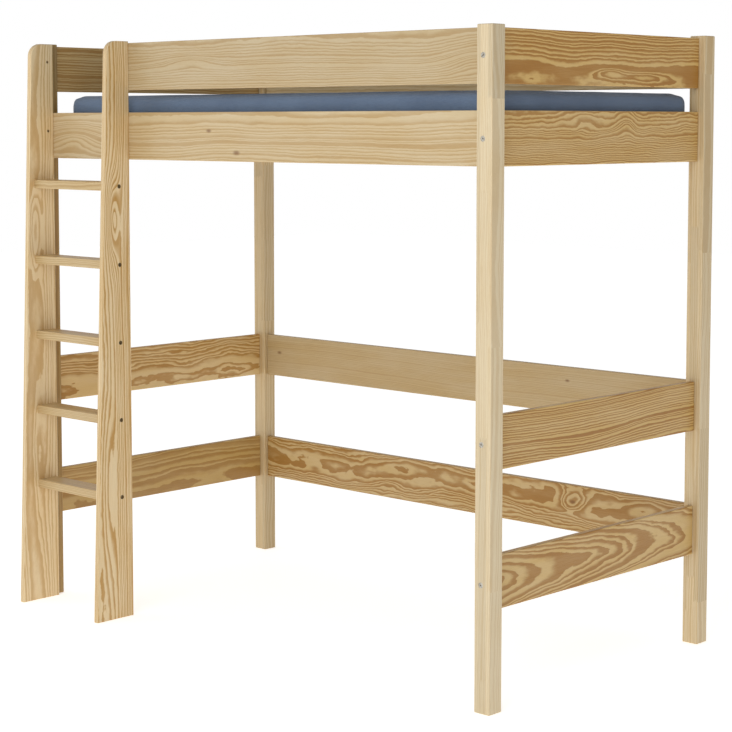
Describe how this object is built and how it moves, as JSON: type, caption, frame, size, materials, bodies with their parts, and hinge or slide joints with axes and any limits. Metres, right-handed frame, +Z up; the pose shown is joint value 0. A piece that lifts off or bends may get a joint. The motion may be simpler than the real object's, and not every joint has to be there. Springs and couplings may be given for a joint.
{
  "type": "loft bed",
  "caption": "High sleeper bed in solid pine: square posts, board rails at four heights, an upright ladder in one corner, a slatted deck and a loose mattress.",
  "frame": {"origin": "on the floor, at the middle of the footprint, ladder feet included", "axes": "+X along the bed towards the end without the ladder, +Y towards the wall side, +Z up"},
  "size_m": [1.912, 1.124, 1.797],
  "materials": {
    "post_pine": "clear lacquered laminated pine",
    "board_pine": "clear lacquered flat-sawn pine",
    "ladder_pine": "clear lacquered flat-sawn pine",
    "slat_pine": "planed bare pine",
    "dowel_beech": "bare fluted beech",
    "fastener_steel": "dull zinc-plated steel",
    "fastener_zinc": "die-cast zinc",
    "mattress_cover": "plain woven cotton cover"
  },
  "bodies": {
    "frame": {"front_right_post": "post_pine", "rear_right_post": "post_pine", "rear_left_post": "post_pine", "front_left_post": "post_pine", "left_guard_rail": "board_pine", "left_side_rail": "board_pine", "left_desk_rail": "board_pine", "left_low_rail": "board_pine", "right_guard_rail": "board_pine", "right_side_rail": "board_pine", "right_desk_rail": "board_pine", "right_low_rail": "board_pine", "rear_guard_rail": "board_pine", "rear_side_rail": "board_pine", "rear_desk_rail": "board_pine", "rear_low_rail": "board_pine", "front_side_rail": "board_pine", "front_guard_rail": "board_pine", "left_stringer": "ladder_pine", "right_stringer": "ladder_pine", "tread_1": "ladder_pine", "tread_2": "ladder_pine", "tread_3": "ladder_pine", "tread_4": "ladder_pine", "tread_5": "ladder_pine", "front_ledger": "slat_pine", "rear_ledger": "slat_pine", "slat_01": "slat_pine", "slat_02": "slat_pine", "slat_03": "slat_pine", "slat_04": "slat_pine", "slat_05": "slat_pine", "slat_06": "slat_pine", "slat_07": "slat_pine", "slat_08": "slat_pine", "slat_09": "slat_pine", "slat_10": "slat_pine", "slat_11": "slat_pine", "slat_12": "slat_pine", "slat_13": "slat_pine", "slat_14": "slat_pine", "rail_bolts": "fastener_steel", "barrel_nuts": "fastener_steel", "rail_dowels": "dowel_beech", "cam_bolts": "fastener_steel", "cam_discs": "fastener_zinc", "tread_bolts": "fastener_steel", "tread_barrel_nuts": "fastener_steel", "tread_dowels": "dowel_beech", "stringer_screws": "fastener_steel", "ledger_screws": "fastener_steel", "slat_screws": "fastener_steel"},
    "mattress": {"mattress": "mattress_cover"}
  },
  "joints": [
    {"name": "mattress_lift", "type": "slide", "parent": "frame", "child": "mattress", "axis": [0, 0, 1], "range_m": [0, 0.32]}
  ]
}
